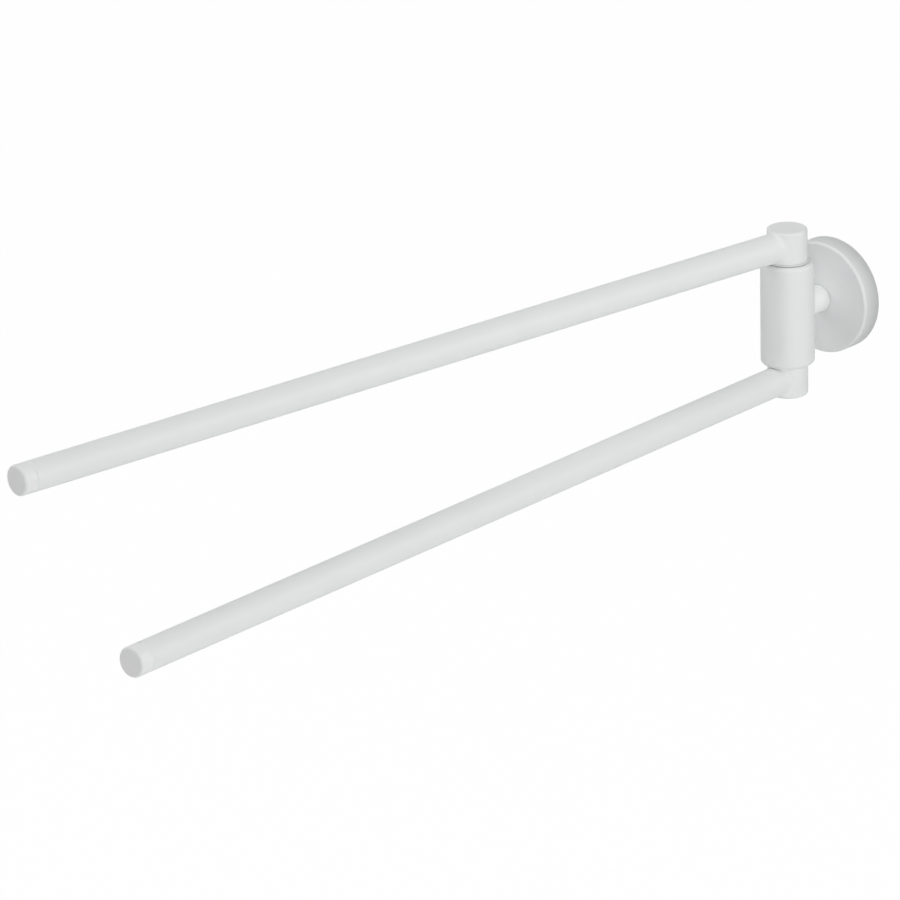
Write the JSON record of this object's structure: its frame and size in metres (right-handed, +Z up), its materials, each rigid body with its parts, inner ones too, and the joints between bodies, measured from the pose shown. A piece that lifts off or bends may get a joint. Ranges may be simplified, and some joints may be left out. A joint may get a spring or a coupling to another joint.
{
  "type": "two-arm towel holder",
  "caption": "White wall-mounted towel holder: a round rosette and short stem carry an upright barrel with long round arms that swing above and below it.",
  "frame": {"origin": "centre of the wall plate's back face, on the wall", "axes": "+Y into the wall, -Y along the lower arm, +Z up, +X to the right seen from in front"},
  "size_m": [0.0952, 0.45, 0.0756],
  "materials": {
    "white_coating": "satin powder coat",
    "cap_plastic": "satin moulded",
    "bush_plastic": "natural, smooth",
    "zinc_plate": "zinc plated",
    "screw_steel": "plain stainless",
    "pin_steel": "turned",
    "spring_steel": "dark spring steel"
  },
  "bodies": {
    "wall_mount": {"rosette": "white_coating", "stem": "white_coating", "barrel": "white_coating", "wall_plate": "zinc_plate", "rosette_lock_screw": "screw_steel", "stem_stud": "screw_steel", "stem_screw": "screw_steel", "stem_screw_washer": "screw_steel", "stem_dowel": "pin_steel", "upper_spring_washer": "spring_steel", "upper_pivot_bush": "bush_plastic", "upper_retaining_screw": "screw_steel", "lower_spring_washer": "spring_steel", "lower_pivot_bush": "bush_plastic", "lower_retaining_screw": "screw_steel"},
    "upper_arm": {"upper_hub": "white_coating", "upper_arm_tube": "white_coating", "upper_pivot_pin": "pin_steel", "upper_tube_pin": "pin_steel", "upper_end_cap": "cap_plastic"},
    "lower_arm": {"lower_hub": "white_coating", "lower_arm_tube": "white_coating", "lower_pivot_pin": "pin_steel", "lower_tube_pin": "pin_steel", "lower_end_cap": "cap_plastic"}
  },
  "joints": [
    {"name": "upper_arm_swing", "type": "hinge", "parent": "wall_mount", "child": "upper_arm", "pos_m": [0, -0.032, 0.03065], "axis": [0, 0, 1], "range_deg": [-81.2, 98.8]},
    {"name": "lower_arm_swing", "type": "hinge", "parent": "wall_mount", "child": "lower_arm", "pos_m": [0, -0.032, -0.0299], "axis": [0, 0, 1], "range_deg": [-90, 90]}
  ]
}
